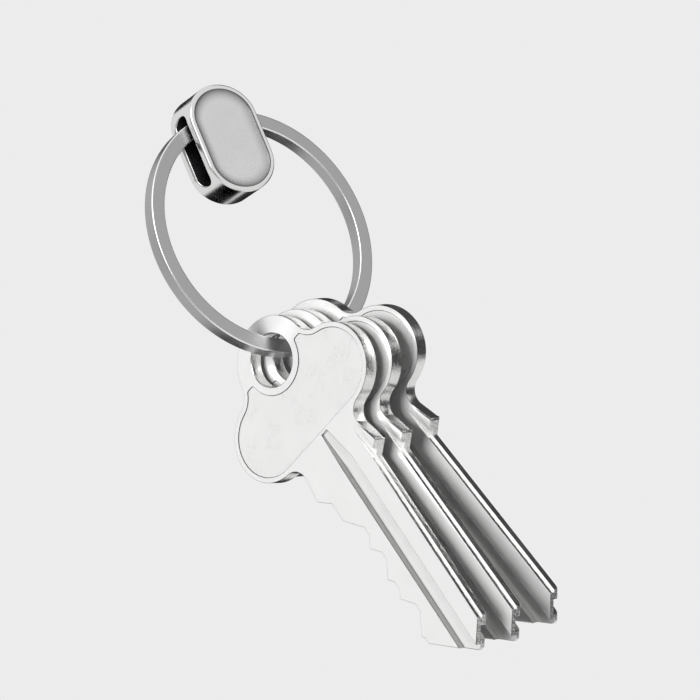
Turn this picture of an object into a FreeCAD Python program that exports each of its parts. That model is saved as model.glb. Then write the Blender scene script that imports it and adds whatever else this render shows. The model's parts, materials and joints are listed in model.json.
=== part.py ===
"""Key ring: a one-piece split ring, a sliding dished tab and three flat keys.

Millimetres. The origin is the ring's centre. +Z is up. The keys hang down along -Z, and the ring
leans back from the vertical by RING_LEAN about +X, its level diameter.
"""
import FreeCAD, Part
import math
import os

from FreeCAD import Placement, Rotation, Vector

# Ring: a nearly square wire bent into one turn, its ends lapped side by side.
RING_OUTER_R = 17.5
WIRE_RADIAL = 2.05
WIRE_AXIAL = 2.0
WIRE_CHAMFER = 0.21
RING_LEAN = 20.6
LAP_LENGTH = 6.0
LAP_GAP = 0.12

# Tab: an oval slider on the ring, dished on both faces, with a slot that the wire runs through.
TAB_LENGTH = 15.6
TAB_WIDTH = 11.1
TAB_THICKNESS = 5.15
TAB_END_DEPTH = 4.9
TAB_EDGE_BEVEL = 0.3
TAB_RIM = 0.35
DISH_DEPTH = 0.45
DISH_WALL_RUN = 0.9
DISH_WALL_KNEE = (0.55, 0.72)      # shares of the wall's run and depth where it eases into the floor
SLOT_LENGTH = 10.1
SLOT_WIDTH = 2.7
TAB_ANGLE = -5.0
TAB_LEAN = 1.0
TAB_SLACK = 0.36                   # between the wire's outer corners and the slot's outer end

# Key: hole centre at its own origin, +X to the spine, +Y to the top of the bow, +Z out of the front.
KEY_THICKNESS = 2.1
HOLE_R = 3.57
HOLE_BEVEL = 0.15
TOP_LOBE_R = 6.4
TOP_LOBE_DROP = 0.5
SIDE_LOBE_R = 5.95
SIDE_LOBE_OUT = 7.1
SIDE_LOBE_DROP = 7.45
LOBE_BLEND_R = 3.0
NECK_BLEND_R = 2.2
PANEL_INSET = 0.7
PANEL_HOLE_RIM = 1.1
PANEL_DEPTH = 0.1
PANEL_TOP = -0.4
PANEL_CORNER_R = 0.4
NECK_SPINE_X = 5.9
NECK_BIT_X = -5.6
NECK_BURY = 2.0                    # how far the neck's top runs up inside the side lobes
SHOULDER_DROP = 20.0
SHOULDER_RISE = 4.2
SHOULDER_ROUND = 0.45
SPINE_SHOULDER = {"out": 0.9, "peak": 0.8, "foot": 0.6}
BIT_SHOULDER = {"out": 0.4, "peak": 0.6, "foot": 1.1}

# Blade: measured down from the hole centre.
SPINE_X = 4.95
BIT_X = -4.25
TIP_DROP = 49.7
TIP_X = 1.8
TIP_FLAT = 0.5
TIP_BIT_X = -3.45
TIP_BACK_ROUND = 0.55
CUT_FLANK = 0.75
CUT_FLAT = 1.2
FIRST_CUT_DROP = 27.5
CUT_PITCH = 4.22
CUT_EDGE_X = (-2.05, -1.9, -2.7, -1.9, -3.45)

# Keyway milling: a groove in the front face, one in the back face nearer the spine, and a rebate
# along the front edge of the spine, which starts as a ramp beside the shoulder.
FRONT_GROOVE_X = (0.0, 2.3)
FRONT_GROOVE_DEPTH = 1.1
FRONT_RUNOUT_X = (0.2, 1.25)
FRONT_RUNOUT_DEPTH = 0.3
FRONT_GROOVE_START = 18.6
FRONT_RUNOUT_START = 13.2
BACK_GROOVE_X = (2.75, 4.05)
BACK_GROOVE_DEPTH = 1.3
BACK_GROOVE_START = 16.5
BACK_GROOVE_RAMP = 2.6
REBATE_X = 4.7
REBATE_DEPTH = 0.9
REBATE_START = 15.9
REBATE_RAMP = 4.7
REBATE_RAMP_WIDTH = 0.9

# Where each key hangs: how far round the wire it is from the ring's bottom towards +X, the turn of its
# faces about +Z, the swing of its blade away from its neighbour, which way from its hole's centre the
# wire bears, in degrees from the key's +Y towards its +X, and the slack between the two there.
MIDDLE_KEY_ALONG = -1.553
FRONT_KEY_SPACE = 0.69
REAR_KEY_SPACE = 1.205
KEY_PLACES = {
    "front_key": {"along": MIDDLE_KEY_ALONG - KEY_THICKNESS - FRONT_KEY_SPACE,
                  "turn": 15.0, "splay": 0.0, "bearing": 24.84, "slack": 0.76},
    "middle_key": {"along": MIDDLE_KEY_ALONG,
                   "turn": 15.0, "splay": 3.0, "bearing": -15.64, "slack": 0.987},
    "rear_key": {"along": MIDDLE_KEY_ALONG + KEY_THICKNESS + REAR_KEY_SPACE,
                 "turn": 15.0, "splay": 8.0, "bearing": -53.13, "slack": 1.045},
}

WIRE_R = RING_OUTER_R - WIRE_RADIAL / 2
CLEAR = 1.0                        # how far cutting tools reach past the faces they cut
SPOT_REACH = 0.01                  # how near a corner must be to the spot it is looked for at
RING_PLACE = Placement(Vector(0, 0, 0), Rotation(Vector(1, 0, 0), RING_LEAN))


def prism(points, low, high):
    """A straight-sided solid over an outline of (x, y) points, from z = low to z = high."""
    wire = Part.makePolygon([Vector(x, y, low) for x, y in points] + [Vector(*points[0], low)])
    return Part.Face(wire).extrude(Vector(0, 0, high - low))


def upright_edges(shape, spots):
    """The edges along Z that stand at the given (x, y) spots."""
    found = []
    for edge in shape.Edges:
        a, b = edge.Vertexes[0].Point, edge.Vertexes[-1].Point
        upright = math.hypot(a.x - b.x, a.y - b.y) < SPOT_REACH and abs(a.z - b.z) > SPOT_REACH
        if upright and any(math.hypot(a.x - x, a.y - y) < SPOT_REACH for x, y in spots):
            found.append(edge)
    return found


# ---------------------------------------------------------------- ring
def ring_section():
    """The wire's chamfered section, in the XY plane on the ring's +X side."""
    half_r, half_a, cut = WIRE_RADIAL / 2, WIRE_AXIAL / 2, WIRE_CHAMFER
    corners = []
    for sx, sy in ((1, 1), (-1, 1), (-1, -1), (1, -1)):
        ends = [(half_r, half_a - cut), (half_r - cut, half_a)]
        if sx * sy < 0:
            ends.reverse()
        corners += [Vector(WIRE_R + sx * dx, sy * dy, 0) for dx, dy in ends]
    return Part.Face(Part.makePolygon(corners + corners[:1]))


def lap_cut():
    """The thin Z-shaped gap that leaves the two half-thick ends lying side by side."""
    half_angle = math.degrees(LAP_LENGTH / 2 / WIRE_R)
    inner, outer = WIRE_R - WIRE_RADIAL, WIRE_R + WIRE_RADIAL
    half_gap = LAP_GAP / 2
    corners = [(inner, -half_gap), (outer, -half_gap), (outer, half_gap), (inner, half_gap)]
    seam = Part.Face(Part.makePolygon([Vector(x, y, 0) for x, y in corners + corners[:1]]))
    seam.rotate(Vector(0, 0, 0), Vector(0, 1, 0), -90 - half_angle)
    gap = seam.revolve(Vector(0, 0, 0), Vector(0, 1, 0), 2 * half_angle)
    for side in (-1, 1):
        low = -half_gap if side > 0 else -WIRE_AXIAL
        end = Part.makeBox(LAP_GAP, WIRE_AXIAL + half_gap, outer - inner, Vector(-half_gap, low, inner))
        end.rotate(Vector(0, 0, 0), Vector(0, 1, 0), side * half_angle)
        gap = gap.fuse(end)
    return gap


def split_ring():
    """The whole ring in its own plane, y = 0, its split at the tab."""
    ring = ring_section().revolve(Vector(0, 0, 0), Vector(0, 1, 0), 360)
    gap = lap_cut()
    gap.rotate(Vector(0, 0, 0), Vector(0, 1, 0), TAB_ANGLE)
    return ring.cut(gap)


# ---------------------------------------------------------------- tab
def oval(length, width, end_depth, y):
    """A closed oval wire in the plane at y: straight sides along Z and half-ellipse ends."""
    half_w = width / 2
    straight = length / 2 - end_depth
    edges = []
    for side in (1, -1):
        a, b = Vector(side * half_w, y, side * straight), Vector(-side * half_w, y, side * straight)
        crown = Vector(0, y, side * length / 2)
        centre = Vector(0, y, side * straight)
        if end_depth > half_w:
            curve = Part.Ellipse(crown, a, centre)
        else:
            curve = Part.Ellipse(a, crown, centre)
        start, stop = curve.parameter(a), curve.parameter(b)
        if not start < curve.parameter(crown) < stop:
            start, stop = stop, start
        if stop < start:
            stop += 2 * math.pi
        edges.append(curve.toShape(start, stop))
        edges.append(Part.LineSegment(b, Vector(b.x, y, -b.z)).toShape())
    return Part.Wire(Part.__sortEdges__(edges))


def oval_ring(inset, y):
    """The tab's outline drawn in by inset, at y."""
    return oval(TAB_LENGTH - 2 * inset, TAB_WIDTH - 2 * inset, TAB_END_DEPTH - inset, y)


def tab():
    """The oval block with its two bevelled edges and two dishes, and the slot for the wire."""
    half_t = TAB_THICKNESS / 2
    shoulder = half_t - TAB_EDGE_BEVEL
    body = Part.makeLoft([oval_ring(0, -shoulder), oval_ring(0, shoulder)], True, True)
    lip = TAB_EDGE_BEVEL + TAB_RIM
    knee_run, knee_depth = DISH_WALL_KNEE
    wall = [(0, 0), (knee_run, knee_depth), (1, 1)]
    for side in (-1, 1):
        face = side * half_t
        bevel = [oval_ring(0, side * shoulder), oval_ring(TAB_EDGE_BEVEL, face)]
        body = body.fuse(Part.makeLoft(bevel, True, True))
        rings = [oval_ring(lip + run * DISH_WALL_RUN, face - side * depth * DISH_DEPTH)
                 for run, depth in wall]
        for outer, inner in zip(rings, rings[1:]):
            body = body.cut(Part.makeLoft([outer, inner], True, True))
    return body.cut(wire_slot()).removeSplitter()


def wire_slot():
    """The slot through the tab's width, a round-ended bar along X."""
    half_w = SLOT_WIDTH / 2
    straight = SLOT_LENGTH / 2 - half_w
    start, length = -TAB_WIDTH / 2 - CLEAR, TAB_WIDTH + 2 * CLEAR
    bar = Part.makeBox(length, SLOT_WIDTH, 2 * straight, Vector(start, -half_w, -straight))
    for side in (-1, 1):
        bar = bar.fuse(Part.makeCylinder(half_w, length, Vector(start, 0, side * straight), Vector(1, 0, 0)))
    return bar


def tab_offset():
    """How far the tab's centre lies from the ring's centre, with the wire near the slot's outer end."""
    end_r = SLOT_WIDTH / 2
    corner = WIRE_AXIAL / 2 - WIRE_CHAMFER
    reach = math.sqrt((end_r - TAB_SLACK) ** 2 - corner ** 2)
    return RING_OUTER_R - reach - (SLOT_LENGTH / 2 - end_r)


# ---------------------------------------------------------------- keys
def cuts_outline():
    """The toothed edge from the shoulder down to the tip, as (x, y) points."""
    points = [(BIT_X, -SHOULDER_DROP - BIT_SHOULDER["foot"])]
    for index, edge_x in enumerate(CUT_EDGE_X):
        flat_top = CUT_FLAT / 2 - FIRST_CUT_DROP - index * CUT_PITCH
        above_x, above_y = points[-1]
        if index == 0:
            points.append((BIT_X, flat_top + (edge_x - BIT_X) / CUT_FLANK))
        else:
            peak_y = (above_y + flat_top + (edge_x - above_x) / CUT_FLANK) / 2
            points.append((above_x - CUT_FLANK * (above_y - peak_y), peak_y))
        points += [(edge_x, flat_top), (edge_x, flat_top - CUT_FLAT)]
    points[-1] = (TIP_BIT_X, -TIP_DROP + (TIP_X - TIP_FLAT / 2 - TIP_BIT_X))
    return points


def blade():
    """The cut blade, its pointed tip rounded on the back."""
    half_t = KEY_THICKNESS / 2
    right, left = TIP_X + TIP_FLAT / 2, TIP_X - TIP_FLAT / 2
    top = -SHOULDER_DROP + NECK_BURY
    tip = [(SPINE_X, -TIP_DROP + SPINE_X - right), (right, -TIP_DROP), (left, -TIP_DROP)]
    outline = [(SPINE_X, top), *tip, *reversed(cuts_outline()), (BIT_X, top)]
    solid = prism(outline, -half_t, half_t)
    tip_edges = [edge for edge in solid.Edges if all(
        vertex.Z < 0 and any(math.hypot(vertex.X - x, vertex.Y - y) < SPOT_REACH for x, y in tip)
        for vertex in edge.Vertexes)]
    return solid.makeFillet(TIP_BACK_ROUND, tip_edges)


def lobe_meeting(inset):
    """Where the outlines of the top lobe and the +X side lobe cross, outside the bow."""
    top_r, side_r = TOP_LOBE_R - inset, SIDE_LOBE_R - inset
    along_x, along_y = SIDE_LOBE_OUT, TOP_LOBE_DROP - SIDE_LOBE_DROP
    apart = math.hypot(along_x, along_y)
    along = (apart ** 2 + top_r ** 2 - side_r ** 2) / (2 * apart)
    off = math.sqrt(top_r ** 2 - along ** 2)
    ux, uy = along_x / apart, along_y / apart
    return along * ux - off * uy, -TOP_LOBE_DROP + along * uy + off * ux


def lobed_plate(inset, low, high):
    """The bow's three-lobed plate, its outline drawn in by inset, from z = low to z = high."""
    foot = -SIDE_LOBE_DROP - SIDE_LOBE_R + inset
    middle = [(-SIDE_LOBE_OUT, foot), (SIDE_LOBE_OUT, foot), (SIDE_LOBE_OUT, -SIDE_LOBE_DROP),
              (0, -TOP_LOBE_DROP), (-SIDE_LOBE_OUT, -SIDE_LOBE_DROP)]
    plate = prism(middle, low, high)
    for x, y, r in [(0, -TOP_LOBE_DROP, TOP_LOBE_R), (SIDE_LOBE_OUT, -SIDE_LOBE_DROP, SIDE_LOBE_R),
                    (-SIDE_LOBE_OUT, -SIDE_LOBE_DROP, SIDE_LOBE_R)]:
        plate = plate.fuse(Part.makeCylinder(r - inset, high - low, Vector(x, y, low)))
    plate = plate.removeSplitter()
    x, y = lobe_meeting(inset)
    return plate.makeFillet(LOBE_BLEND_R + inset, upright_edges(plate, [(x, y), (-x, y)]))


def neck_outline():
    """The neck below the bow, with a shoulder stop flared out on each side."""
    top = -SIDE_LOBE_DROP - SIDE_LOBE_R + NECK_BURY
    flare = -SHOULDER_DROP + SHOULDER_RISE
    spine, bit = SPINE_SHOULDER, BIT_SHOULDER
    spine_side = [(NECK_SPINE_X, top), (NECK_SPINE_X, flare),
                  (NECK_SPINE_X + spine["out"], -SHOULDER_DROP + spine["peak"]),
                  (SPINE_X, -SHOULDER_DROP - spine["foot"])]
    bit_side = [(BIT_X, -SHOULDER_DROP - bit["foot"]),
                (NECK_BIT_X - bit["out"], -SHOULDER_DROP + bit["peak"]),
                (NECK_BIT_X, flare), (NECK_BIT_X, top)]
    return spine_side + bit_side


def bow():
    """The three-lobed head and the neck with its two shoulders."""
    half_t = KEY_THICKNESS / 2
    neck = neck_outline()
    solid = lobed_plate(0, -half_t, half_t).fuse(prism(neck, -half_t, half_t)).removeSplitter()
    corners = [(x, -SIDE_LOBE_DROP - SIDE_LOBE_R) for x in (NECK_SPINE_X, NECK_BIT_X)]
    solid = solid.makeFillet(NECK_BLEND_R, upright_edges(solid, corners))
    return solid.makeFillet(SHOULDER_ROUND, upright_edges(solid, [neck[2], neck[5]]))


def panel_pocket(side):
    """The shallow panel in one face of the bow, below the hole, clear of its edge and of the hole's rim."""
    face = side * KEY_THICKNESS / 2
    low, high = sorted((face - side * PANEL_DEPTH, face + side))
    rim = Part.makeCylinder(HOLE_R + PANEL_HOLE_RIM, high - low, Vector(0, 0, low))
    across, above = 2 * (SIDE_LOBE_OUT + SIDE_LOBE_R), 2 * TOP_LOBE_R
    top = Part.makeBox(across, above, high - low, Vector(-across / 2, PANEL_TOP, low))
    panel = lobed_plate(PANEL_INSET, low, high).cut(rim.fuse(top))
    ends = [(v.X, v.Y) for v in panel.Vertexes if abs(v.Y - PANEL_TOP) < SPOT_REACH]
    return panel.makeFillet(PANEL_CORNER_R, upright_edges(panel, ends))


def key_hole():
    half_t = KEY_THICKNESS / 2
    hole = Part.makeCylinder(HOLE_R, KEY_THICKNESS, Vector(0, 0, -half_t))
    for side in (-1, 1):
        wide, narrow = HOLE_R + HOLE_BEVEL, HOLE_R
        start = Vector(0, 0, side * half_t)
        hole = hole.fuse(Part.makeCone(wide, narrow, HOLE_BEVEL, start, Vector(0, 0, -side)))
    return hole


def slab(x_range, drop, depth, side):
    """A rectangle across the blade, reaching depth into one of its faces, as a wire for a loft."""
    z_range = (side * (KEY_THICKNESS / 2 + CLEAR), side * (KEY_THICKNESS / 2 - depth))
    (x0, x1), (z0, z1) = x_range, z_range
    spots = [Vector(x0, -drop, z0), Vector(x1, -drop, z0), Vector(x1, -drop, z1), Vector(x0, -drop, z1)]
    return Part.makePolygon(spots + spots[:1])


def milled(stations, side):
    """The run of a cutter through slabs given as (x_range, drop, depth), on past the tip."""
    x_range, _, depth = stations[-1]
    slabs = [slab(*station, side) for station in [*stations, (x_range, TIP_DROP + CLEAR, depth)]]
    return [Part.makeLoft([start, end], True, True) for start, end in zip(slabs, slabs[1:])]


def grooves():
    front = [(FRONT_RUNOUT_X, FRONT_RUNOUT_START, FRONT_RUNOUT_DEPTH),
             (FRONT_GROOVE_X, FRONT_GROOVE_START, FRONT_GROOVE_DEPTH)]
    back = [(BACK_GROOVE_X, BACK_GROOVE_START, 0),
            (BACK_GROOVE_X, BACK_GROOVE_START + BACK_GROOVE_RAMP, BACK_GROOVE_DEPTH)]
    rebate_x = (REBATE_X, REBATE_X + REBATE_RAMP_WIDTH)
    rebate = [(rebate_x, REBATE_START, 0), (rebate_x, REBATE_START + REBATE_RAMP, REBATE_DEPTH)]
    return milled(front, 1) + milled(back, -1) + milled(rebate, 1)


def key():
    """A whole key blank, cut and milled, in its own frame."""
    pockets = [panel_pocket(side) for side in (-1, 1)]
    solid = bow().fuse(blade()).removeSplitter()
    for tool in [*pockets, key_hole(), *grooves()]:
        solid = solid.cut(tool)
    return solid


def key_placement(along, turn, splay, bearing, slack):
    """Hangs a key on the wire, some way along it from the ring's bottom."""
    around = along / WIRE_R
    wire = RING_PLACE.multVec(Vector(WIRE_R * math.sin(around), 0, -WIRE_R * math.cos(around)))
    hanging = Rotation(Vector(0, -1, 0), Vector(0, 0, 1), Vector(-1, 0, 0), "ZXY")
    rotation = Rotation(Vector(0, 0, 1), turn).multiply(hanging).multiply(Rotation(Vector(1, 0, 0), splay))
    reach = HOLE_R - WIRE_RADIAL / 2 - slack
    toward = math.radians(bearing)
    spot = Vector(reach * math.sin(toward), reach * math.cos(toward), 0)
    return Placement(wire - rotation.multVec(spot), rotation)


def placed(shape, placement):
    """A copy of the shape carried by the placement."""
    moved = shape.copy()
    moved.Placement = placement.multiply(moved.Placement)
    return moved


def build():
    """Every piece in its place, by node name."""
    nodes = {"split_ring": placed(split_ring(), RING_PLACE)}
    around = Rotation(Vector(0, 1, 0), TAB_ANGLE)
    lean = Rotation(Vector(1, 0, 0), TAB_LEAN)
    tab_place = Placement(around.multVec(Vector(0, 0, tab_offset())), around.multiply(lean))
    nodes["sliding_tab"] = placed(tab(), RING_PLACE.multiply(tab_place))
    blank = key()
    for name, place in KEY_PLACES.items():
        nodes[name] = placed(blank, key_placement(**place))
    return nodes


os.makedirs("parts", exist_ok=True)
for name, shape in build().items():
    shape.exportStep("parts/" + name + ".step")
    print(name, shape.ShapeType, len(shape.Solids), shape.isValid(), round(shape.Volume, 2))
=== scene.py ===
"""Looks of the key ring: a satin steel split ring, a dished steel tab and three nickel-plated keys.

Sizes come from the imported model. Each piece is measured in its own upright frame, built there, and
then carried to its place. The ring's and the tab's frames have +Y along the ring's axis and +Z up to
the tab. A key's frame has +X to its spine, +Y to its bow and +Z out of its front face.
"""
import json
import math

import bmesh
import bpy
from mathutils import Matrix, Vector
from mathutils.kdtree import KDTree

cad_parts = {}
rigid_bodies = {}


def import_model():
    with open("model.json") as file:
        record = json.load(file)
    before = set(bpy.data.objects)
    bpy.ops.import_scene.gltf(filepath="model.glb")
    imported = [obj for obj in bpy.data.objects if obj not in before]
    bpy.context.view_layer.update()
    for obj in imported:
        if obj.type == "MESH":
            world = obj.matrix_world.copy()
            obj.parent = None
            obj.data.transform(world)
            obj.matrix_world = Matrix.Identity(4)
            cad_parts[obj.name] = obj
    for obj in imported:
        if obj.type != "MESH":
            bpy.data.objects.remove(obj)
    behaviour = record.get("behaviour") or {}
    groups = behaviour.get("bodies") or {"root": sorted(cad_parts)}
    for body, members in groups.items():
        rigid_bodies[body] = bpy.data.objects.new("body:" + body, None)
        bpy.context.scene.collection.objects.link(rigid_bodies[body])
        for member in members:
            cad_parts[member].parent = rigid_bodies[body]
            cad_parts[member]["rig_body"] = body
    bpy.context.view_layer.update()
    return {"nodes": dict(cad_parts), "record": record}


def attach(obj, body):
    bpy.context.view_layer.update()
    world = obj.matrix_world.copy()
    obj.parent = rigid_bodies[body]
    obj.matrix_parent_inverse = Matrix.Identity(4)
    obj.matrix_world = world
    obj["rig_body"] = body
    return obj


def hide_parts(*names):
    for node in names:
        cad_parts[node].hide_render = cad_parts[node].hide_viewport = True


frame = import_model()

MM = 0.001
MOUNTS = {mount["name"]: mount for mount in frame["record"]["mounts"]}
JOINTS = {joint["name"]: joint for joint in frame["record"]["behaviour"]["joints"]}

# Ring and tab, where the frame doesn't say.
WIRE_CORNER_ROUND = 0.24 * MM
WIRE_CORNER_STEPS = 4
PATH_POINTS = 288
LAP_LENGTH = 6.0 * MM
LAP_GAP = 0.12 * MM
LAP_EDGE_ROUND = 0.05 * MM
LAP_STEPS = 24
# Painted highlight: faces of the wire's rounded corners that lean this way get a near-white finish, a narrow
# bright line along each edge.
HIGHLIGHT_STRIP_LEAN = (0.3, 0.95)     # the wire's rounded corners face between these, along the ring's axis
TAB_ANGLE = -5.0
TAB_LEAN = 1.0
TAB_END_DEPTH = 4.9 * MM
TAB_EDGE_ROUND = 0.3 * MM
TAB_RIM = 0.35 * MM
TAB_LIP_ROUND = 0.06 * MM
TAB_LIP_SAG = 0.4                  # how far the lip's round has dropped at the dish, as a share of it
DISH_DEPTH = 0.45 * MM
DISH_WALL_RUN = 1.6 * MM
# The dish's wall carries painted shade, darkest by the lip.
PAINTED_SHADE_FADE = 0.65                 # how quickly the tint of the dish's wall fades, 1 being evenly
SLOT_LENGTH = 10.1 * MM
SLOT_WIDTH = 2.7 * MM
SLOT_MOUTH_ROUND = 0.22 * MM
SLOT_TOOL_LIP = 0.04 * MM          # how far the slot's cutter flares on past the tab's wall
KEY_EDGE_ROUND = 0.2 * MM
BLADE_EDGE_ROUND = 0.08 * MM
PANEL_EDGE_ROUND = 0.045 * MM
HOLE_EDGE_ROUND = 0.05 * MM
HOLE_FROM_TIP = (-1.8 * MM, 49.7 * MM)
HOLE_RIM_REACH = 3.9 * MM
PANEL_DEPTH = 0.1 * MM
PANEL_SPOT_PITCH = 0.1 * MM
BLADE_TOP = 36.9 * MM
GROOVES_REACH = 2.4 * MM
BLEND = 1e-7                       # points closer than this are one point


# ---------------------------------------------------------------- camera and studio
# The camera's own right and up, and its place along its right, up and back from the ring's centre.
CAMERA_RIGHT = (0.7663, -0.4034, -0.5005)
CAMERA_UP = (0.1476, -0.6475, 0.7477)
CAMERA_PLACE = (12.0 * MM, -15.7 * MM, 404.2 * MM)
LENS = 154.6
SENSOR_WIDTH = 36.0


def camera():
    """A long lens that looks up at the ring from below and to the side."""
    right, up = Vector(CAMERA_RIGHT), Vector(CAMERA_UP)
    back = right.cross(up).normalized()
    data = bpy.data.cameras.new("camera")
    data.lens = LENS
    data.sensor_width = SENSOR_WIDTH
    data.clip_start = 0.01
    data.clip_end = 20
    cam = bpy.data.objects.new("camera", data)
    bpy.context.scene.collection.objects.link(cam)
    turn = Matrix((right, up, back)).transposed().to_4x4()
    cam.matrix_world = Matrix.Translation(turn @ Vector(CAMERA_PLACE)) @ turn
    bpy.context.scene.camera = cam


# Each spot of the studio is seen only in reflections: the way to it, its inner and outer half angle
# in degrees, and how bright it is. The lamp lights only what isn't a mirror.
BACKDROP = 0.84
LAMP_FROM = (-0.97, -0.20, 0.10)
LAMP_POWER = 7.2
LAMP_SPREAD = 30
ROOM_LIGHT = 0.08
FLOOR_HALF = 4.0
FLOOR_HEIGHT = -0.42
FLOOR_TONE = (0.86, 0.86, 0.86, 1)
SPOTS = {
    "side_softbox": ((-0.93, 0.22, 0.26), 16, 30, 0.26),
    "front_softbox": ((-0.45, -0.88, 0.12), 12, 26, 3.2),
    "camera_flag": ((-0.60, -0.58, -0.55), 14, 24, 0.12),
    "spine_flag": ((0.86, -0.18, 0.48), 18, 30, 0.06),
    "back_flag": ((0.63, 0.65, 0.44), 30, 38, 0.02),
    "low_side_flag": ((0.93, -0.16, -0.22), 12, 22, 0.05),
    "low_flag": ((0.10, 0.94, -0.32), 17, 24, 0.0),
    "top_flag": ((0.32, 0.50, 0.80), 6, 10, 0.0),
}


def studio():
    """A pale world, with softboxes and black flags that show only in what the metal reflects."""
    world = bpy.data.worlds.new("studio")
    bpy.context.scene.world = world
    world.use_nodes = True
    nodes, links = world.node_tree.nodes, world.node_tree.links
    way = nodes.new("ShaderNodeTexCoord").outputs["Generated"]
    level = None
    for name, (direction, inner, outer, value) in SPOTS.items():
        dot = nodes.new("ShaderNodeVectorMath")
        dot.operation = "DOT_PRODUCT"
        dot.name = name
        dot.inputs[1].default_value = Vector(direction).normalized()
        links.new(way, dot.inputs[0])
        edge = nodes.new("ShaderNodeMapRange")
        edge.interpolation_type = "SMOOTHSTEP"
        edge.inputs["From Min"].default_value = math.cos(math.radians(outer))
        edge.inputs["From Max"].default_value = math.cos(math.radians(inner))
        links.new(dot.outputs["Value"], edge.inputs["Value"])
        mix = nodes.new("ShaderNodeMix")
        mix.inputs[2].default_value = BACKDROP
        mix.inputs[3].default_value = value
        if level:
            links.new(level, mix.inputs[2])
        links.new(edge.outputs["Result"], mix.inputs[0])
        level = mix.outputs[0]
    rays = nodes.new("ShaderNodeLightPath").outputs
    for sort, value in (("Is Diffuse Ray", ROOM_LIGHT), ("Is Camera Ray", BACKDROP)):
        seen = nodes.new("ShaderNodeMix")
        seen.inputs[3].default_value = value
        links.new(rays[sort], seen.inputs[0])
        links.new(level, seen.inputs[2])
        level = seen.outputs[0]
    links.new(level, nodes["Background"].inputs["Color"])
    bpy.context.scene.view_settings.view_transform = "Standard"
    lamp = bpy.data.lights.new("key_lamp", "SUN")
    lamp.energy = LAMP_POWER
    lamp.angle = math.radians(LAMP_SPREAD)
    sun = bpy.data.objects.new("key_lamp", lamp)
    bpy.context.scene.collection.objects.link(sun)
    sun.rotation_euler = Vector(LAMP_FROM).to_track_quat("Z", "Y").to_euler()
    sun.visible_glossy = False


def floor():
    """A pale floor far below, which the metal doesn't reflect."""
    square = ((-1, -1), (1, -1), (1, 1), (-1, 1))
    corners = [(x * FLOOR_HALF, y * FLOOR_HALF, FLOOR_HEIGHT) for x, y in square]
    mesh = bpy.data.meshes.new("floor")
    mesh.from_pydata(corners, [], [(0, 1, 2, 3)])
    obj = new_object("floor", mesh)
    mat = bpy.data.materials.new("pale_floor")
    mat.use_nodes = True
    shader = mat.node_tree.nodes["Principled BSDF"]
    shader.inputs["Base Color"].default_value = FLOOR_TONE
    shader.inputs["Roughness"].default_value = 0.95
    mesh.materials.append(mat)
    obj.visible_glossy = False


# ---------------------------------------------------------------- materials
CLOUD_SIZE = 4 * MM                # the broad, faint unevenness of every metal


def metal(name, colour, shade, rough, grain, bump, uv=False, lines=None, pure=1.0, painted_recess_shade=None):
    """A metal with two sizes of blemish.

    colour is its tint and shade the spread of it; rough is its roughness, low to high; grain is the
    size of its fine grain and bump how deep that is, in metres. With uv, patterns lie on the piece's
    own flat map. lines adds drawn lines: their size, depth and stretch. pure is how little of a dull
    film it has. The last argument is painted shade: a dark colour laid on as far as the mesh's own
    attribute of the same name reaches 1.
    """
    mat = bpy.data.materials.new(name)
    mat.use_nodes = True
    nodes, links = mat.node_tree.nodes, mat.node_tree.links
    shader = nodes["Principled BSDF"]
    shader.inputs["Metallic"].default_value = pure
    coords = nodes.new("ShaderNodeTexCoord").outputs["UV" if uv else "Object"]

    def noise(size, detail, pull=(1, 1, 1)):
        mapping = nodes.new("ShaderNodeMapping")
        mapping.inputs["Scale"].default_value = pull
        links.new(coords, mapping.inputs["Vector"])
        texture = nodes.new("ShaderNodeTexNoise")
        texture.inputs["Scale"].default_value = 1 / size
        texture.inputs["Detail"].default_value = detail
        links.new(mapping.outputs["Vector"], texture.inputs["Vector"])
        return texture.outputs["Fac"]

    def spread(source, low, high, start=0.3, stop=0.7):
        node = nodes.new("ShaderNodeMapRange")
        for socket, value in (("From Min", start), ("From Max", stop), ("To Min", low), ("To Max", high)):
            node.inputs[socket].default_value = value
        links.new(source, node.inputs["Value"])
        return node.outputs["Result"]

    def tint(factor):
        mix = nodes.new("ShaderNodeMix")
        mix.data_type = "RGBA"
        mix.inputs[6].default_value = (*[c * (1 - shade) for c in colour], 1)
        mix.inputs[7].default_value = (*[min(1, c * (1 + shade)) for c in colour], 1)
        links.new(factor, mix.inputs[0])
        return mix.outputs[2]

    fine = noise(grain, 2)
    cloud = noise(CLOUD_SIZE, 3)
    both = nodes.new("ShaderNodeMath")
    both.operation = "MULTIPLY_ADD"
    both.inputs[1].default_value = 0.5
    links.new(fine, both.inputs[0])
    half_cloud = spread(cloud, 0, 0.5)
    links.new(half_cloud, both.inputs[2])
    seen = tint(both.outputs[0])
    # Painted shade: blends in a dark colour by the mesh's own attribute, where the dish's wall would lie in
    # shade.
    if painted_recess_shade:
        painted_shade_mask = nodes.new("ShaderNodeAttribute")
        painted_shade_mask.attribute_name = "painted_recess_shade"
        darker = nodes.new("ShaderNodeMix")
        darker.data_type = "RGBA"
        darker.inputs[7].default_value = (*painted_recess_shade, 1)
        links.new(painted_shade_mask.outputs["Fac"], darker.inputs[0])
        links.new(seen, darker.inputs[6])
        seen = darker.outputs[2]
    links.new(seen, shader.inputs["Base Color"])
    links.new(spread(both.outputs[0], *rough), shader.inputs["Roughness"])
    height = nodes.new("ShaderNodeBump")
    height.inputs["Distance"].default_value = bump
    height.inputs["Strength"].default_value = 1
    links.new(fine, height.inputs["Height"])
    if lines:
        size, depth, pull = lines
        drawn = nodes.new("ShaderNodeBump")
        drawn.inputs["Distance"].default_value = depth
        links.new(noise(size, 1, pull), drawn.inputs["Height"])
        links.new(height.outputs["Normal"], drawn.inputs["Normal"])
        height = drawn
    links.new(height.outputs["Normal"], shader.inputs["Normal"])
    return mat


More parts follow.
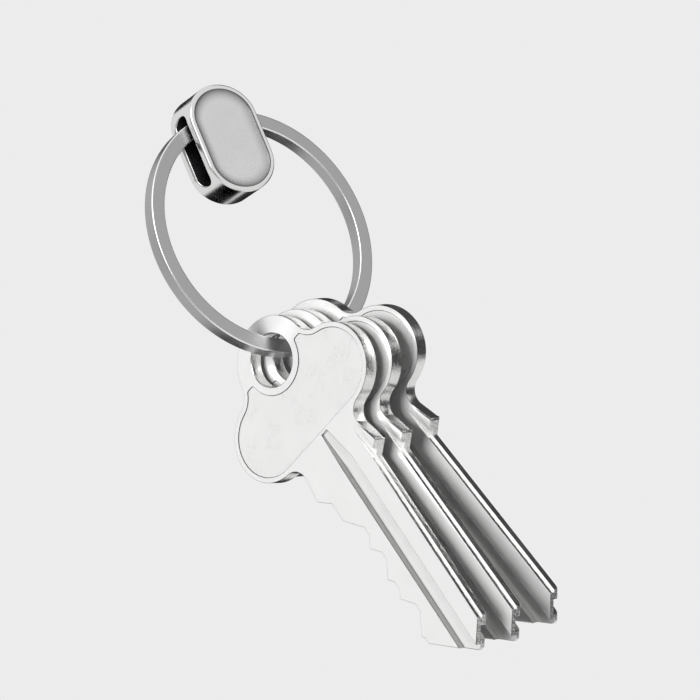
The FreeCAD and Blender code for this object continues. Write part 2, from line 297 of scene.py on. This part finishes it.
def finishes():
    """Every finish by name: colour, its spread, roughness, grain size, grain depth and what else it has."""
    fine_lines = (0.12 * MM, 0.0008 * MM, (1, 0.02, 1))
    mill_lines = (0.09 * MM, 0.002 * MM, (1, 0.01, 1))
    recipes = {
        "ring_satin": ((0.44, 0.44, 0.445), 0.07, (0.28, 0.40), 0.08 * MM, 0.006 * MM, {}),
        # A polished edge whose near-white colour is a painted highlight.
        "ring_edge_highlight": ((0.93, 0.93, 0.93), 0.03, (0.22, 0.32), 0.10 * MM, 0.002 * MM, {}),
        # The dish's blasted finish, with painted shade darkening its wall towards the lip.
        "tab_blasted_painted_shade": ((0.77, 0.77, 0.775), 0.08, (0.40, 0.50), 0.14 * MM, 0.025 * MM,
                        {"painted_recess_shade": (0.06, 0.06, 0.06)}),
        "tab_polished": ((0.80, 0.80, 0.795), 0.03, (0.14, 0.22), 0.20 * MM, 0.003 * MM, {}),
        # Painted shade: near black, for the shade inside the slot.
        "tab_slot_shade": ((0.10, 0.10, 0.10), 0.20, (0.45, 0.60), 0.20 * MM, 0.010 * MM, {}),
        "key_face": ((0.86, 0.86, 0.855), 0.02, (0.15, 0.22), 0.05 * MM, 0.0006 * MM,
                     {"uv": True, "lines": fine_lines, "pure": 0.65}),
        "key_panel": ((0.79, 0.79, 0.785), 0.02, (0.26, 0.34), 0.06 * MM, 0.002 * MM,
                      {"uv": True, "pure": 0.65}),
        # Painted shade: near black, for the shade in the step round the panels and along the grooves' eased
        # edges.
        "key_crease_shade": ((0.10, 0.10, 0.10), 0.20, (0.40, 0.55), 0.10 * MM, 0.002 * MM, {}),
        "key_blade": ((0.77, 0.77, 0.765), 0.05, (0.18, 0.28), 0.07 * MM, 0.0015 * MM,
                      {"uv": True, "lines": fine_lines, "pure": 0.65}),
        "key_edge": ((0.78, 0.78, 0.77), 0.12, (0.12, 0.22), 0.20 * MM, 0.022 * MM,
                     {"lines": (0.5 * MM, 0.03 * MM, (1, 1, 0.7))}),
        # Painted shade: the backs are darker than the fronts of the same plating, which darkens the gaps
        # between the keys.
        "key_back_shaded": ((0.66, 0.66, 0.655), 0.04, (0.16, 0.24), 0.06 * MM, 0.001 * MM,
                     {"uv": True, "lines": fine_lines}),
        "key_groove": ((0.77, 0.77, 0.765), 0.04, (0.28, 0.38), 0.08 * MM, 0.001 * MM,
                       {"uv": True, "lines": mill_lines, "pure": 0.65}),
        # Darker colour is painted shade on the grooves' walls; the drawn lines are milling marks.
        "key_groove_wall_shade": ((0.26, 0.26, 0.255), 0.15, (0.26, 0.40), 0.10 * MM, 0.004 * MM,
                            {"lines": (0.3 * MM, 0.01 * MM, (1, 1, 0.1))}),
    }
    return {name: metal(name, *recipe[:5], **recipe[5]) for name, recipe in recipes.items()}


# ---------------------------------------------------------------- shared mesh work
def new_object(name, mesh):
    obj = bpy.data.objects.new(name, mesh)
    bpy.context.scene.collection.objects.link(obj)
    return obj


def settled(obj):
    """The object with its modifiers worked into its mesh."""
    graph = bpy.context.evaluated_depsgraph_get()
    mesh = bpy.data.meshes.new_from_object(obj.evaluated_get(graph))
    obj.modifiers.clear()
    obj.data = mesh
    return obj


def round_edges(obj, width, steps, angle=None):
    """Rounds the edges sharper than angle, in degrees, or with no angle by each edge's own weight."""
    rounding = obj.modifiers.new("edges", "BEVEL")
    rounding.width = width
    rounding.segments = steps
    if angle is None:
        rounding.limit_method = "WEIGHT"
        rounding.use_clamp_overlap = False
    else:
        rounding.limit_method = "ANGLE"
        rounding.angle_limit = math.radians(angle)


def even_normals(obj, crease=35):
    """Smooth shading that leaves flat faces flat and edges sharper than crease, in degrees, crisp."""
    obj.data.shade_smooth()
    obj.data.set_sharp_from_angle(angle=math.radians(crease))
    weighted = obj.modifiers.new("normals", "WEIGHTED_NORMAL")
    weighted.keep_sharp = True
    settled(obj)


def cut(obj, tool):
    boolean = obj.modifiers.new("cut", "BOOLEAN")
    boolean.operation = "DIFFERENCE"
    boolean.solver = "EXACT"
    boolean.object = tool


def drop(obj):
    bpy.data.objects.remove(obj, do_unlink=True)


def turned_back(node, turn):
    """A node's points once turned by the inverse of turn."""
    back = turn.inverted()
    return [back @ v.co for v in frame["nodes"][node].data.vertices]


def extents(points):
    """The lowest and highest corners of a set of points."""
    low = Vector([min(p[i] for p in points) for i in range(3)])
    high = Vector([max(p[i] for p in points) for i in range(3)])
    return low, high


def ring_turn():
    """From the ring's upright frame, with its axis along +Y, to its leaning place."""
    axis = Vector(JOINTS["tab_travel"]["axis"])
    return Matrix.Rotation(math.atan2(axis.z, axis.y), 4, "X")


def hand_over(obj, node):
    """Makes the finished piece ride with the node's body and stand for the node."""
    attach(obj, frame["nodes"][node]["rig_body"])
    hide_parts(node)


# ---------------------------------------------------------------- ring
def wire_tree(material):
    """A wire of rounded square section swept round a circle, as a node tree with its sizes as inputs."""
    tree = bpy.data.node_groups.new("ring_wire", "GeometryNodeTree")
    face = tree.interface
    face.new_socket("Geometry", in_out="OUTPUT", socket_type="NodeSocketGeometry")
    face.new_socket("Geometry", in_out="INPUT", socket_type="NodeSocketGeometry")
    for name in ("Ring radius", "Wire radial", "Wire axial", "Corner round"):
        face.new_socket(name, in_out="INPUT", socket_type="NodeSocketFloat")
    for name in ("Path points", "Corner steps"):
        face.new_socket(name, in_out="INPUT", socket_type="NodeSocketInt")
    nodes, links = tree.nodes, tree.links
    sizes = nodes.new("NodeGroupInput").outputs
    path = nodes.new("GeometryNodeCurvePrimitiveCircle")
    section = nodes.new("GeometryNodeCurvePrimitiveQuadrilateral")
    rounded = nodes.new("GeometryNodeFilletCurve")
    rounded.mode = "POLY"
    sweep = nodes.new("GeometryNodeCurveToMesh")
    smooth = nodes.new("GeometryNodeSetShadeSmooth")
    whole = nodes.new("GeometryNodeRealizeInstances")
    finish = nodes.new("GeometryNodeSetMaterial")
    finish.inputs["Material"].default_value = material
    links.new(sizes["Path points"], path.inputs["Resolution"])
    links.new(sizes["Ring radius"], path.inputs["Radius"])
    links.new(sizes["Wire radial"], section.inputs["Width"])
    links.new(sizes["Wire axial"], section.inputs["Height"])
    links.new(section.outputs["Curve"], rounded.inputs["Curve"])
    links.new(sizes["Corner round"], rounded.inputs["Radius"])
    links.new(sizes["Corner steps"], rounded.inputs["Count"])
    links.new(path.outputs["Curve"], sweep.inputs["Curve"])
    links.new(rounded.outputs["Curve"], sweep.inputs["Profile Curve"])
    links.new(sweep.outputs["Mesh"], smooth.inputs["Geometry"])
    links.new(smooth.outputs["Geometry"], whole.inputs["Geometry"])
    links.new(whole.outputs["Geometry"], finish.inputs["Geometry"])
    links.new(finish.outputs["Geometry"], nodes.new("NodeGroupOutput").inputs["Geometry"])
    return tree


def slab_round(radii, heights, angles, steps):
    """A solid slab bent round +Y: between two radii, two heights and two angles from +Z, in radians."""
    bm = bmesh.new()
    (near, far), (low, high) = radii, heights
    corners = ((near, low), (far, low), (far, high), (near, high))
    sections = []
    for i in range(steps + 1):
        a = angles[0] + (angles[1] - angles[0]) * i / steps
        sections.append([bm.verts.new((r * math.sin(a), y, r * math.cos(a))) for r, y in corners])
    for one, two in zip(sections, sections[1:]):
        for i in range(4):
            bm.faces.new((one[i], one[(i + 1) % 4], two[(i + 1) % 4], two[i]))
    bm.faces.new(sections[0])
    bm.faces.new(sections[-1])
    bmesh.ops.recalc_face_normals(bm, faces=bm.faces)
    mesh = bpy.data.meshes.new("slab")
    bm.to_mesh(mesh)
    bm.free()
    return new_object("slab", mesh)


def split_ring(mats):
    """The swept wire, parted along its lap and across it at the lap's two ends."""
    turn = ring_turn()
    points = turned_back("split_ring", turn)
    low, high = extents(points)
    outer = high.x
    axial = high.y - low.y
    inner = min(math.hypot(p.x, p.z) for p in points)
    wire_r = (outer + inner) / 2
    ring = new_object("ring_wire", bpy.data.meshes.new("ring_wire"))
    tree = wire_tree(mats["ring_satin"])
    sweep = ring.modifiers.new("wire", "NODES")
    sweep.node_group = tree
    sizes = {"Ring radius": wire_r, "Wire radial": outer - inner, "Wire axial": axial,
             "Corner round": WIRE_CORNER_ROUND, "Path points": PATH_POINTS, "Corner steps": WIRE_CORNER_STEPS}
    for item in tree.interface.items_tree:
        if item.name in sizes:
            sweep[item.identifier] = sizes[item.name]
    settled(ring)
    ring.data.transform(Matrix.Rotation(math.pi / 2, 4, "X"))
    bm = bmesh.new()
    bm.from_mesh(ring.data)
    bmesh.ops.recalc_face_normals(bm, faces=bm.faces)
    bm.to_mesh(ring.data)
    bm.free()
    middle, half = math.radians(TAB_ANGLE), LAP_LENGTH / 2 / wire_r
    end_half = LAP_GAP / 2 / wire_r
    reach = (inner - axial, outer + axial)
    seam = slab_round(reach, (-LAP_GAP / 2, LAP_GAP / 2), (middle - half, middle + half), LAP_STEPS)
    first = slab_round(reach, (-axial, LAP_GAP / 2), (middle - half - end_half, middle - half + end_half), 1)
    second = slab_round(reach, (-LAP_GAP / 2, axial), (middle + half - end_half, middle + half + end_half), 1)
    for tool in (seam, first, second):
        cut(ring, tool)
    round_edges(ring, LAP_EDGE_ROUND, 2, 50)
    settled(ring)
    for tool in (seam, first, second):
        drop(tool)
    even_normals(ring)
    ring.data.materials.clear()
    ring.data.materials.append(mats["ring_satin"])
    ring.data.materials.append(mats["ring_edge_highlight"])
    # Painted highlight: a narrow strip down the middle of each rounded corner takes the near-white polished
    # finish.
    for face in ring.data.polygons:
        face.material_index = int(HIGHLIGHT_STRIP_LEAN[0] < abs(face.normal.y) < HIGHLIGHT_STRIP_LEAN[1])
    ring.data.transform(turn)
    hand_over(ring, "split_ring")


# ---------------------------------------------------------------- tab
def oval(bm, length, width, inset, y, steps=40):
    """A loop of points round the tab's outline, drawn in by inset: straight sides, half-ellipse ends."""
    half_w, depth = width / 2 - inset, TAB_END_DEPTH - inset
    straight = length / 2 - TAB_END_DEPTH
    loop = []
    for side in (1, -1):
        for i in range(steps + 1):
            a = math.pi * i / steps
            x, z = half_w * math.cos(a), straight + depth * math.sin(a)
            loop.append(bm.verts.new((side * x, y, side * z)))
    return loop


def tab_profile(half_t):
    """The tab's section from the middle of its side to its dish floor, as (inset, y) points."""
    points = []
    for i in range(7):
        a = math.pi / 2 * i / 6
        points.append((TAB_EDGE_ROUND * (1 - math.cos(a)), half_t - TAB_EDGE_ROUND * (1 - math.sin(a))))
    lip = TAB_EDGE_ROUND + TAB_RIM
    points += [(lip - TAB_LIP_ROUND, half_t), (lip, half_t - TAB_LIP_ROUND * TAB_LIP_SAG)]
    for i in range(2, 13):
        a = math.pi / 2 * i / 12
        points.append((lip + DISH_WALL_RUN * (1 - math.cos(a)), half_t - DISH_DEPTH * math.sin(a)))
    return points


def sliding_tab(mats):
    """The oval body with both dishes drawn in its section, and its slot cut through its width."""
    round_ring = Matrix.Rotation(math.radians(TAB_ANGLE), 4, "Y")
    lean = Matrix.Rotation(math.radians(TAB_LEAN), 4, "X")
    turn = ring_turn() @ round_ring @ lean
    low, high = extents(turned_back("sliding_tab", turn))
    width, thick, length = high - low
    bm = bmesh.new()
    profile = tab_profile(thick / 2)
    rows = [(inset, -y) for inset, y in reversed(profile)] + profile
    loops = [oval(bm, length, width, inset, y) for inset, y in rows]
    for one, two in zip(loops, loops[1:]):
        for i in range(len(one)):
            j = (i + 1) % len(one)
            bm.faces.new((one[i], one[j], two[j], two[i]))
    bm.faces.new(loops[0])
    bm.faces.new(loops[-1])
    bmesh.ops.remove_doubles(bm, verts=bm.verts, dist=BLEND)
    bmesh.ops.recalc_face_normals(bm, faces=bm.faces)
    mesh = bpy.data.meshes.new("tab_body")
    bm.to_mesh(mesh)
    bm.free()
    tab = new_object("tab_body", mesh)
    tool = slot_tool(length, width)
    cut(tab, tool)
    settled(tab)
    drop(tool)
    even_normals(tab)
    tab.data.materials.clear()
    for name in ("tab_polished", "tab_blasted_painted_shade", "tab_slot_shade"):
        tab.data.materials.append(mats[name])
    for face in tab.data.polygons:
        x, y, z = face.center
        sunk = thick / 2 - abs(y) > 0.02 * MM
        past_mouth = abs(x) < wall_at(z, length, width) - 1.5 * SLOT_MOUTH_ROUND
        # Painted shade: the slot's inner wall, past its eased mouths, takes the near-black finish.
        if past_mouth and abs(y) < SLOT_WIDTH / 2 + 0.01 * MM:
            face.material_index = 2
        elif sunk and inside_lip(x, z, width, length):
            face.material_index = 1
    # Painted shade on the dish: 1 at the top of its wall by the lip, fading to 0 on its floor.
    painted_recess_shade = tab.data.attributes.new("painted_recess_shade", "FLOAT", "POINT")
    for vertex in tab.data.vertices:
        x, y, z = vertex.co
        rise = 1 - (thick / 2 - abs(y)) / DISH_DEPTH
        painted_recess_shade.data[vertex.index].value = max(0.0, min(1.0, rise)) ** PAINTED_SHADE_FADE
    tab.data.transform(Matrix.Translation(turn @ ((low + high) / 2)) @ turn)
    hand_over(tab, "sliding_tab")


def wall_at(z, length, width):
    """How far the tab's side wall stands from its middle at a height z."""
    past = max(0.0, abs(z) - (length / 2 - TAB_END_DEPTH))
    return width / 2 * math.sqrt(max(0.0, 1 - (past / TAB_END_DEPTH) ** 2))


def inside_lip(x, z, width, length):
    """Whether a spot lies within the lip of the dish."""
    lip = TAB_EDGE_ROUND + TAB_RIM - 0.03 * MM
    half_w, depth = width / 2 - lip, TAB_END_DEPTH - lip
    past = max(0.0, abs(z) - (length / 2 - TAB_END_DEPTH))
    return math.hypot(x / half_w, past / depth) < 1


def slot_tool(length, width):
    """The round-ended bar that cuts the tab's slot, flared at both mouths to ease their edges."""
    bm = bmesh.new()
    steps, r, ease = 32, SLOT_WIDTH / 2, SLOT_MOUTH_ROUND
    straight = SLOT_LENGTH / 2 - r
    flare = [math.radians(a) for a in (0, 16, 32, 48, 64, 78)]
    levels = [(ease * (1 - math.cos(a)), ease * (math.sin(a) - 1)) for a in flare]
    levels.append((levels[-1][0] + SLOT_TOOL_LIP * math.tan(flare[-1]), SLOT_TOOL_LIP))
    levels.append((levels[-1][0], None))

    def loop(side, grow, rise):
        points = []
        for end in (1, -1):
            for i in range(steps + 1):
                a = math.pi * i / steps
                y, z = end * (r + grow) * math.cos(a), end * (straight + (r + grow) * math.sin(a))
                x = width if rise is None else wall_at(z, length, width) + rise
                points.append(bm.verts.new((side * x, y, z)))
        return points

    loops = [loop(-1, *level) for level in reversed(levels)] + [loop(1, *level) for level in levels]
    count = len(loops[0])
    for one, two in zip(loops, loops[1:]):
        for i in range(count):
            j = (i + 1) % count
            bm.faces.new((one[i], one[j], two[j], two[i]))
    bm.faces.new(loops[0])
    bm.faces.new(loops[-1])
    bmesh.ops.triangulate(bm, faces=[f for f in bm.faces if len(f.verts) == 4])
    bmesh.ops.recalc_face_normals(bm, faces=bm.faces)
    mesh = bpy.data.meshes.new("slot_tool")
    bm.to_mesh(mesh)
    bm.free()
    return new_object("slot_tool", mesh)


# ---------------------------------------------------------------- keys
def key_frame(node):
    """From the key's own frame, at its tip, to its place."""
    up = -Vector(MOUNTS[node + "_blade"]["axis"]).normalized()
    out = Vector(JOINTS[node + "_swing"]["axis"]).normalized()
    spine = up.cross(out).normalized()
    turn = Matrix((spine, up, out)).transposed().to_4x4()
    return Matrix.Translation(MOUNTS[node + "_blade"]["pos_m"]) @ turn


def is_panel_wall(face, half_t):
    """Whether a face is the low wall round a sunk panel."""
    deepest = max(half_t - abs(v.co.z) for v in face.verts)
    return abs(face.normal.z) < 0.3 and deepest < PANEL_DEPTH * 1.2


def panel_edge(bm, half_t):
    """Close-set spots along the edge of the sunk panels, taken from their low walls."""
    spots = []
    for face in bm.faces:
        if is_panel_wall(face, half_t):
            for edge in face.edges:
                one, two = (v.co for v in edge.verts)
                count = max(1, math.ceil((two - one).length / PANEL_SPOT_PITCH))
                spots += [one.lerp(two, i / count) for i in range(count + 1)]
    tree = KDTree(len(spots))
    for i, spot in enumerate(spots):
        tree.insert((spot.x, spot.y, 0), i)
    tree.balance()
    return tree


def weigh_edges(bm, half_t):
    """Sets how much each sharp edge is rounded, as a share of the largest round."""
    weight = bm.edges.layers.float.new("bevel_weight_edge")
    for edge in bm.edges:
        if len(edge.link_faces) != 2 or edge.calc_face_angle() < math.radians(20):
            continue
        middle = (edge.verts[0].co + edge.verts[1].co) / 2
        from_hole = math.hypot(middle.x - HOLE_FROM_TIP[0], middle.y - HOLE_FROM_TIP[1])
        size = KEY_EDGE_ROUND
        if any(is_panel_wall(face, half_t) for face in edge.link_faces):
            size = PANEL_EDGE_ROUND
        elif from_hole < HOLE_RIM_REACH:
            size = HOLE_EDGE_ROUND
        elif middle.y < BLADE_TOP:
            size = BLADE_EDGE_ROUND
        edge[weight] = size / KEY_EDGE_ROUND


def key(node, mats):
    """The key's own solid with its edges eased, mapped flat, and each sort of face in its finish."""
    place = key_frame(node)
    mesh = frame["nodes"][node].data.copy()
    bm = bmesh.new()
    bm.from_mesh(mesh)
    bm.transform(place.inverted())
    bmesh.ops.remove_doubles(bm, verts=bm.verts, dist=BLEND)
    bmesh.ops.dissolve_limit(bm, angle_limit=math.radians(0.5), verts=bm.verts, edges=bm.edges)
    bm.normal_update()
    half_t = max(v.co.z for v in bm.verts)
    edge = panel_edge(bm, half_t)
    weigh_edges(bm, half_t)
    bm.to_mesh(mesh)
    bm.free()
    mesh.materials.clear()
    obj = new_object(node + "_plated", mesh)
    round_edges(obj, KEY_EDGE_ROUND, 3)
    settled(obj)
    even_normals(obj)
    mesh = obj.data
    names = ("key_face", "key_panel", "key_crease_shade", "key_blade", "key_edge", "key_back_shaded", "key_groove",
             "key_groove_wall_shade")
    for name in names:
        mesh.materials.append(mats[name])
    for face in mesh.polygons:
        face.material_index = names.index(key_finish(face, half_t, edge))
    while mesh.uv_layers:
        mesh.uv_layers.remove(mesh.uv_layers[0])
    flat = mesh.uv_layers.new(name="flat_map")
    for loop in mesh.loops:
        flat.data[loop.index].uv = mesh.vertices[loop.vertex_index].co.xy
    mesh.transform(place)
    hand_over(obj, node)


def key_finish(face, half_t, edge):
    """The finish of a key's face, from where it lies and which way it looks."""
    x, y, z = face.center
    depth = half_t - abs(z)
    steep = abs(face.normal.z) < 0.7
    near = edge.find((x, y, 0))[2]
    # Painted shade: faces just round the panel's step, and the grooves' eased edges, take the near-black
    # finish.
    if near < 0.09 * MM and 0.003 * MM < depth < PANEL_DEPTH * 1.05:
        return "key_crease_shade"
    leaning = abs(face.normal.z) < 0.985
    if abs(x) < GROOVES_REACH and y < BLADE_TOP and leaning:
        if 0.01 * MM < depth < BLADE_EDGE_ROUND:
            return "key_crease_shade"
        # Painted shade: the grooves' steep walls take a dark finish.
        if depth > BLADE_EDGE_ROUND and abs(face.normal.y) < 0.5:
            return "key_groove_wall_shade"
    if steep or leaning and depth < KEY_EDGE_ROUND / 2:
        return "key_edge"
    # Painted shade: backs take a darker copy of the plating.
    if face.normal.z < 0:
        return "key_back_shaded"
    if depth < PANEL_DEPTH / 2:
        return "key_blade" if y < BLADE_TOP else "key_face"
    return "key_panel" if depth < PANEL_DEPTH * 1.3 and y > BLADE_TOP else "key_groove"


camera()
studio()
floor()
mats = finishes()
split_ring(mats)
sliding_tab(mats)
for node in ("front_key", "middle_key", "rear_key"):
    key(node, mats)
